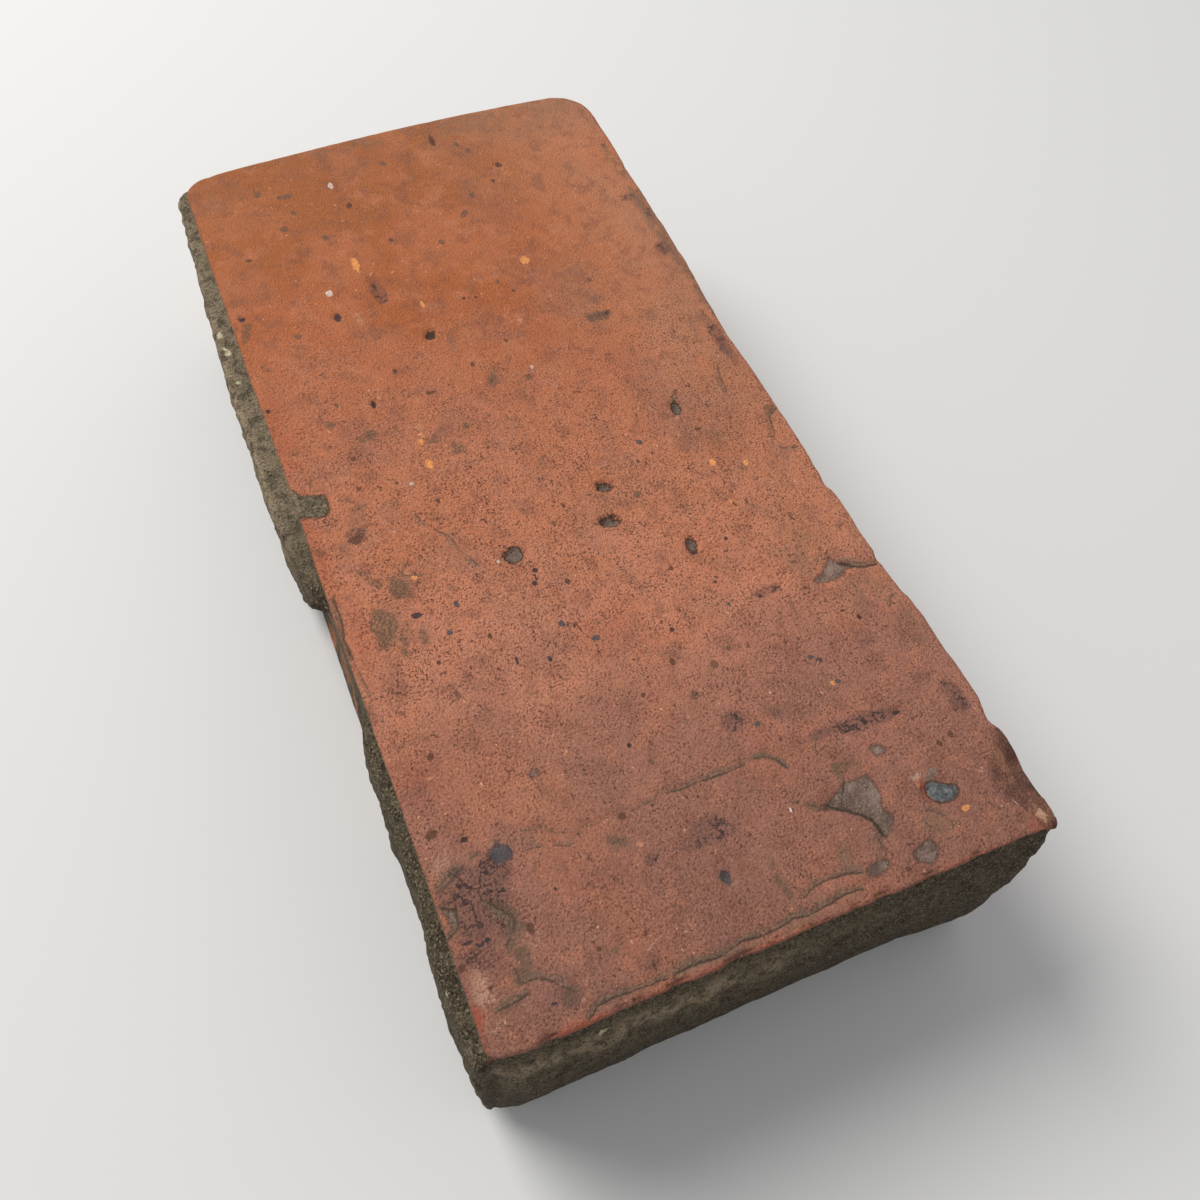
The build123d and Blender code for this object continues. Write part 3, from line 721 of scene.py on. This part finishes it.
# Near end: a paler band along the ridge, partly pale lumps and partly painted light, strongest by
# the straight side
ridge = (0.8 + 1 * clods) * np.exp(-((z - 40 + 0.8 * lumps) / 4) ** 2)
pale_and_lit_crust += on_near * ridge * (0.95 * smooth(75, 30, plain_v) + 0.12)
# Darker crust: partly its own darker tone, partly painted shade on the far slab's broken end
broken_end = smooth(96, 84, plain_u) * smooth(80, 84, plain_u)
crust_dark_and_shade = on_straight * (0.32 * smooth(80, 55, plain_u) + 0.65 * broken_end)
# Near end: darker throughout and more so low down, with a painted shadow line in the groove under
# the arris
crust_dark_and_shade += on_near * (0.3 + 0.2 * smooth(30, 20, z) + 0.8 * np.exp(-((z - 47.6) / 1.2) ** 2))
crust_dark_and_shade = np.clip(crust_dark_and_shade - 0.5 * pale_and_lit_crust, 0, 0.9)
pale_and_lit_crust = np.maximum(pale_and_lit_crust, 0.75 * tab)

# Pale grains in the crust, and painted highlights on its far ledge: place and size
PALE_GRAINS_AND_HIGHLIGHTS = [(156.3, -3.1, 48.6, 1.2), (150.6, -2.6, 48.6, 1.1), (152.4, -3, 48.4, 0.8),
          (12.3, -2.9, 48, 0.6), (8.2, -2, 47.6, 0.5), (-0.6, 17.7, 42, 1.4),
          (142, -2.6, 48.8, 0.7), (137.5, -3, 48.4, 0.6)]
grain_and_highlight = np.zeros(total)
for gu, gv, gz, r in PALE_GRAINS_AND_HIGHLIGHTS:
    away = np.sqrt((u - gu) ** 2 + (1.3 * (v - gv)) ** 2 + (0.8 * (z - gz)) ** 2)
    grain_and_highlight = np.maximum(grain_and_highlight, smooth(1.25 * r, 0.4 * r, away + 0.35 * sand))

# The spot nearest to each vertex: the vertex's place in it and the spot's rim and colour
spot_at, spot_colour = np.full((total, 3), FAR_SIDE), np.zeros((total, 4))
spot_keep, spot_reached = np.zeros(total), np.full(total, 1e9)
for (shade, rim_share), spots in SPOTS.items():
    for pu, pv, ru, rv, *turn in spots:
        x, y = turned(plain_u, plain_v, pu, pv, ru, rv, *turn)
        away = np.hypot(plain_u - pu, plain_v - pv) - max(ru, rv)
        closer = away < spot_reached
        spot_reached[closer] = away[closer]
        spot_at[closer] = np.stack([x, y, 0 * x + rim_share], 1)[closer]
        spot_colour[closer] = tint(*shade)
        spot_keep[closer] = (away < 1.3)[closer]

mesh = bpy.data.meshes.new("brick_body")
corners = np.column_stack([NEAR_X + u, SIDE_Y - v, z]) * MM
mesh.from_pydata(corners.tolist(), [], faces)
mesh.update()
mesh.shade_smooth()


def keep(name, values):
    """Numbers, vectors or colours for the vertices, for the material to read by name."""
    values = np.asarray(values, np.float32)
    kind, field = {1: ("FLOAT", "value"), 3: ("FLOAT_VECTOR", "vector"),
                   4: ("FLOAT_COLOR", "color")}[values.size // total]
    mesh.attributes.new(name, kind, "POINT").data.foreach_set(field, values.ravel())


bed_only = np.clip(bed_share * 2, 0, 1)
keep("crack_side", crack_side)
keep("crack_keep", crack_keep * bed_only[:, None])
for name, values in (("mortar", mortar), ("film", film), ("stone", stone)):
    keep(name, np.where(bed_only > 0, values, FAR_OFF))
for name, values in (("grime", grime), ("haze", haze), ("red", red), ("pale", pale_patch),
                     ("spot_keep", spot_keep)):
    keep(name, values * bed_only)
for name, values in (("worn", worn_band), ("crust", crust), ("crust_pale_and_lit", pale_and_lit_crust),
                     ("crust_dark_and_shade", crust_dark_and_shade), ("grain_and_highlight", grain_and_highlight), ("spot_at", spot_at),
                     ("spot_colour", spot_colour)):
    keep(name, values)


def add(name, data):
    """A new object in the scene."""
    made = bpy.data.objects.new(name, data)
    bpy.context.scene.collection.objects.link(made)
    return made


body = add("brick_body", mesh)

# Material
clay = bpy.data.materials.new("fired_clay_worn")
clay.use_nodes = True
tree = clay.node_tree
tree.nodes.clear()


def node(kind):
    return tree.nodes.new("ShaderNode" + kind)


def join(value, socket):
    """Links a node's output to an input, or sets the input to a plain value."""
    if isinstance(value, bpy.types.NodeSocket):
        tree.links.new(value, socket)
    else:
        socket.default_value = value


def calc(operation, a, b=0.0, clamp=False):
    made = node("Math")
    made.operation, made.use_clamp = operation, clamp
    join(a, made.inputs[0])
    join(b, made.inputs[1])
    return made.outputs[0]


def plus(a, *rest):
    for b in rest:
        a = calc("ADD", a, b)
    return a


def times(a, *rest):
    for b in rest:
        a = calc("MULTIPLY", a, b)
    return a


def swing(x, amount):
    """A noise around 0.5 as a number around 0."""
    return times(calc("SUBTRACT", x, 0.5), amount)


def fade(x, edge0, edge1, low=0.0, high=1.0):
    """From low at edge0 to high at edge1, by a smooth step."""
    made = node("MapRange")
    made.interpolation_type = "SMOOTHSTEP"
    for value, socket in zip((x, edge0, edge1, low, high), made.inputs[:5]):
        join(value, socket)
    return made.outputs[0]


def blend(share, *colours):
    """Between two colours, each a node's output or red, green and blue."""
    made = node("Mix")
    made.data_type = "RGBA"
    join(share, made.inputs[0])
    for shade, socket in zip(colours, made.inputs[6:8]):
        join(tint(*shade) if isinstance(shade, tuple) else shade, socket)
    return made.outputs[2]


def coats(colour, *layers):
    """Colours laid over another one in turn, each by the product of its shares."""
    for over, *shares in layers:
        colour = blend(times(*shares), colour, over)
    return colour


def ramp(x, *stops):
    """A colour by a number, with stops as place, red, green and blue."""
    made = node("ValToRGB")
    join(x, made.inputs[0])
    bars = made.color_ramp.elements
    while len(bars) < len(stops):
        bars.new(0.5)
    for bar, (at, *shade) in zip(bars, stops):
        bar.position, bar.color = at, tint(*shade)
    return made.outputs[0]


def stored(name, output="Fac"):
    made = node("Attribute")
    made.attribute_name = name
    return made.outputs[output]


def parts(vector):
    made = node("SeparateXYZ")
    join(vector, made.inputs[0])
    return made.outputs[:]


object_at = node("TexCoord").outputs["Object"]


def noise_node(size, detail, rough, shift=0.0):
    """A noise around 0.5, with lumps of that size in millimetres."""
    moved, made = node("Mapping"), node("TexNoise")
    join(object_at, moved.inputs["Vector"])
    join((shift, 0, 0), moved.inputs["Location"])
    for name, value in (("Vector", moved.outputs[0]), ("Scale", 1 / (size * MM)),
                        ("Detail", detail), ("Roughness", rough)):
        join(value, made.inputs[name])
    return made


def clouds(*args):
    """Three noises at once."""
    return parts(noise_node(*args).outputs["Color"])


broad_a, broad_b, broad_c = clouds(24, 3, 0.6)
middle_a, middle_b, middle_c = clouds(4.5, 4, 0.62, 0.3)
small_noise = noise_node(0.45, 3, 0.62, 0.6)
small_a, small_b, small_c = parts(small_noise.outputs["Color"])
speck_a, speck_b, speck_c = clouds(1.15, 2, 0.65, 0.5)

# Clay: redder and darker by the near end, browner and smoother by the far one, paler
# towards the hollow side
at_x, at_y, at_z = parts(object_at)
along = fade(plus(at_x, swing(broad_a, 0.06)), -0.105, 0.105)
across = fade(plus(at_y, swing(broad_b, 0.05)), -0.01, -0.048)
hue_a, hue_b, _ = clouds(9, 2, 0.5, 0.2)
colour = coats(
    ramp(along, (0, 142, 98, 83), (0.03, 154, 105, 88), (0.095, 167, 112, 91),
         (0.21, 195, 127, 98), (0.4, 190, 120, 87), (0.61, 183, 111, 77), (0.8, 170, 94, 52),
         (1, 162, 96, 55)),
    ((182, 123, 91), across, fade(along, 0.1, 0.6, 0, 0.85)),
    ((190, 114, 78), fade(broad_b, 0.46, 0.62, 0, 0.34)),
    ((146, 97, 80), fade(broad_c, 0.5, 0.66, 0, 0.34)),
    ((184, 112, 74), fade(hue_a, 0.5, 0.62), fade(along, 0.1, 0.32, 0, 0.38)),
    ((160, 109, 87), fade(hue_b, 0.5, 0.64), fade(along, 0.75, 0.5, 0, 0.4)),
    ((130, 84, 66), fade(middle_a, 0.36, 0.5, 0.44, 0)),
    ((204, 130, 96), fade(middle_b, 0.52, 0.68, 0, 0.34)))

# Grain, coarse by the near end and fine by the far one, with darker and paler specks
coarse = times(fade(along, 0.9, 0.5, 0.3, 1), fade(along, 0, 0.22, 0.85, 1))
cluster = fade(middle_c, 0.4, 0.6, 0.15, 1)
dark_grain = times(fade(small_a, 0.5, 0.33), fade(cluster, 0, 1, 0.62, 1))
pale_grain = times(fade(small_b, 0.5, 0.7), fade(along, 0, 0.3, 0.7, 1))
colour = coats(
    colour,
    ((96, 60, 46), coarse, 0.96, dark_grain),
    ((212, 150, 122), coarse, 0.46, pale_grain),
    ((88, 56, 43), fade(small_c, 0.44, 0.36), cluster, coarse, 0.95),
    ((84, 54, 42), fade(speck_a, 0.655, 0.7), coarse, 0.8),
    ((220, 160, 124), fade(speck_b, 0.7, 0.74), 0.7),
    ((140, 76, 58), fade(speck_c, 0.64, 0.7), coarse, 0.5))

# Soft patches, films and wrinkled grime
film_edge = plus(stored("film"), swing(small_c, 2.2), swing(middle_b, 5))
grime_at = stored("grime")
wrinkle = fade(calc("ABSOLUTE", swing(middle_c, 1)), 0.034, 0.006)
speckle = calc("MAXIMUM", fade(small_b, 0.5, 0.38, 0, 0.75), wrinkle)
colour = coats(
    colour,
    ((118, 96, 76), stored("haze"), fade(plus(middle_b, swing(small_a, 0.35)), 0.4, 0.56), 0.72),
    ((198, 156, 130), stored("pale"), fade(plus(middle_c, swing(small_b, 0.7)), 0.4, 0.62), 0.7),
    ((100, 82, 64), fade(film_edge, -0.42, 0.45), fade(small_b, 0.4, 0.58, 0.25, 0.88)),
    ((108, 79, 71), fade(plus(grime_at, swing(middle_b, 1.2)), 0.15, 0.75), 0.55),
    ((60, 48, 46), speckle, fade(plus(grime_at, swing(middle_a, 1.6)), 0.25, 0.75), 0.95),
    ((160, 75, 52), stored("red"), fade(middle_a, 0.3, 0.55), 0.62))

# Mortar smears, and cracks with partly painted shade and a dusty hollow beside each
mortar_edge = plus(stored("mortar"), swing(small_c, 1.8))
mortar_colour = blend(fade(plus(middle_b, swing(small_b, 0.6)), 0.36, 0.64),
                      (94, 78, 69), (142, 122, 110))
bend = plus(swing(middle_c, 7), swing(small_a, 1.6))
width = fade(middle_a, 0.36, 0.62, 0.5, 1.5)
broken = swing(middle_b, 2.6)
cracks, hollows = 0, 0
for side, mask in zip(parts(stored("crack_side", "Vector")),
                      parts(stored("crack_keep", "Vector"))):
    side = calc("DIVIDE", plus(side, bend), width)
    mask = times(mask, fade(plus(mask, broken), 0.35, 0.65))
    cracks = calc("MAXIMUM", cracks, times(fade(calc("ABSOLUTE", side), 1.5, 0.3), mask))
    beside = calc("ABSOLUTE", calc("SUBTRACT", side, 1.8))
    hollows = calc("MAXIMUM", hollows, times(fade(beside, 4.6, 1.6), mask))
colour = coats(
    colour,
    (mortar_colour, fade(mortar_edge, -0.1, 0.25), 0.88),
    ((64, 48, 40), fade(calc("ABSOLUTE", mortar_edge), 0.4, 0.05), 0.5),
    (blend(fade(small_b, 0.42, 0.58), (96, 80, 66), (126, 108, 88)), hollows, 0.72),
    # Dark crack lines: partly dirt, partly painted shade inside the cracks
    ((60, 45, 38), cracks, 0.8))

# The worn slope, spots and the stone, with painted shade in the groove round it
worn_colour = ramp(plus(middle_c, swing(small_b, 0.8)),
                   (0.36, 84, 57, 47), (0.5, 110, 74, 60), (0.64, 152, 106, 82))
spot_x, spot_y, spot_rim = parts(stored("spot_at", "Vector"))
spot_far = plus(calc("SQRT", plus(times(spot_x, spot_x), times(spot_y, spot_y))),
                plus(swing(small_a, 0.5), swing(speck_a, 1.4)))
spot_shade = coats(stored("spot_colour", "Color"),
                   ((70, 52, 44), fade(small_b, 0.4, 0.6, 0.35, 0)),
                   ((46, 36, 30), spot_rim, fade(spot_far, 0.58, 0.82)))
stone_at = stored("stone")
stone_colour = ramp(plus(middle_a, swing(speck_c, 0.6)),
                    (0.36, 58, 61, 64), (0.52, 94, 97, 97), (0.68, 130, 131, 128))
colour = coats(
    colour,
    (worn_colour, fade(plus(stored("worn"), swing(small_c, 1)), 0.25, 0.8), 0.8),
    (spot_shade, fade(spot_far, 1.15, 0.8), stored("spot_keep"), 0.9),
    # Painted shade: a dark ring in the groove where the stone sits in its pit
    ((62, 44, 38), fade(calc("ABSOLUTE", stone_at), 0.55, 0.15), 0.7),
    (stone_colour, fade(plus(stone_at, swing(small_a, 0.5)), -0.1, 0.15)))

# Crust of old mortar and soil on the side and the near end, thinning to a dusty film
# Its paler and darker parts are partly painted light and shade, with a painted shadow line under
# the near arris and painted highlights
crust_at, dark_and_shade_at = stored("crust"), stored("crust_dark_and_shade")
crust_a, crust_b, crust_c = clouds(2.4, 4, 0.72, 0.9)
gritty = fade(dark_and_shade_at, 0, 0.3, 0.72, 0.95)
crust_share = fade(plus(crust_at, swing(small_a, 1.3)), 0.4, 0.6)
crust_colour = coats(
    ramp(crust_a, (0.32, 66, 57, 44), (0.45, 92, 81, 64), (0.56, 118, 105, 83),
         (0.7, 150, 135, 109)),
    # Paler mortar, and painted light on the lit ledge and ridge
    ((186, 163, 132), stored("crust_pale_and_lit"), fade(crust_b, 0.4, 0.58, 0.12, 0.95)),
    # Darker crust, partly painted shade
    (blend(fade(crust_c, 0.4, 0.62), (44, 35, 25), (96, 80, 60)), dark_and_shade_at, 0.75),
    # Painted shadow: a dark line just under the top arris, where the crust is darkest
    ((62, 42, 28), fade(at_z, 0.0455, 0.047), fade(dark_and_shade_at, 0.2, 0.8), 0.85),
    ((48, 39, 28), fade(small_b, 0.5, 0.34), gritty),
    ((160, 144, 116), fade(small_c, 0.52, 0.66), gritty),
    # Pale grains, and painted highlights on the far ledge
    ((238, 224, 184), fade(plus(stored("grain_and_highlight"), swing(small_a, 0.9)), 0.25, 0.75)))
colour = coats(
    colour,
    ((106, 86, 66), fade(plus(crust_at, swing(middle_b, 0.9)), 0.1, 0.42),
     fade(small_b, 0.6, 0.44, 0.35, 0.85)),
    (crust_colour, crust_share))

# Relief finer than the mesh, stronger on the crust
bump = node("Bump")
bump.inputs["Strength"].default_value = 1
bump.inputs["Distance"].default_value = MM
join(times(small_noise.outputs["Fac"], plus(times(crust_at, 1.5), 0.55)), bump.inputs["Height"])

shader = node("BsdfPrincipled")
join(colour, shader.inputs["Base Color"])
rough = fade(small_a, 0.35, 0.65, 0.78, 0.9)
join(calc("ADD", rough, times(crust_share, 0.08), True), shader.inputs["Roughness"])
shader.inputs["Specular IOR Level"].default_value = 0.18
join(bump.outputs[0], shader.inputs["Normal"])
output = node("OutputMaterial")
join(shader.outputs[0], output.inputs["Surface"])
body.data.materials.append(clay)

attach(body, "root")
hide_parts("brick")

# Floor, light and camera, in metres but for the camera's place
FLOOR_HALF = 4
SKY_STRENGTH = 0.52
LAMP_PLACE, LAMP_WIDTH, LAMP_POWER = (0.75, 0.55, 1.15), 0.9, 20.5
LENS, SENSOR, NEAREST = 33.27, 36.0, 0.005
CAMERA_PLACE = (-133.9, 57.6, 218.9)
CAMERA_RIGHT = Vector((-0.3919, -0.917, 0.0744))
CAMERA_UP = Vector((0.7888, -0.2934, 0.5401))
CAMERA_AHEAD = Vector((0.4735, -0.2704, -0.8383))

floor_mesh = bpy.data.meshes.new("floor")
floor_corners = [(x * FLOOR_HALF, y * FLOOR_HALF, 0)
                 for x, y in ((-1, -1), (1, -1), (1, 1), (-1, 1))]
floor_mesh.from_pydata(floor_corners, [], [(0, 1, 2, 3)])
floor = add("floor", floor_mesh)
pale = bpy.data.materials.new("pale_floor")
pale.use_nodes = True
floor_inputs = pale.node_tree.nodes["Principled BSDF"].inputs
floor_inputs["Base Color"].default_value = tint(212, 210, 206)
floor_inputs["Roughness"].default_value = 0.9
floor_mesh.materials.append(pale)

world = bpy.data.worlds.new("soft_sky")
world.use_nodes = True
sky_inputs = world.node_tree.nodes["Background"].inputs
sky_inputs["Color"].default_value = tint(246, 249, 255)
sky_inputs["Strength"].default_value = SKY_STRENGTH
bpy.context.scene.world = world
lamp_data = bpy.data.lights.new("overhead", "AREA")
lamp_data.shape, lamp_data.size, lamp_data.energy = "DISK", LAMP_WIDTH, LAMP_POWER
lamp = add("overhead", lamp_data)
lamp.location = LAMP_PLACE
lamp.rotation_euler = (-lamp.location).to_track_quat("-Z", "Y").to_euler()

camera_data = bpy.data.cameras.new("camera")
camera_data.lens, camera_data.sensor_width, camera_data.clip_start = LENS, SENSOR, NEAREST
camera = add("camera", camera_data)
facing = Matrix((CAMERA_RIGHT, CAMERA_UP, -CAMERA_AHEAD)).transposed().to_4x4()
camera.matrix_world = Matrix.Translation(Vector(CAMERA_PLACE) * MM) @ facing
bpy.context.scene.camera = camera
bpy.context.scene.view_settings.view_transform = "Standard"
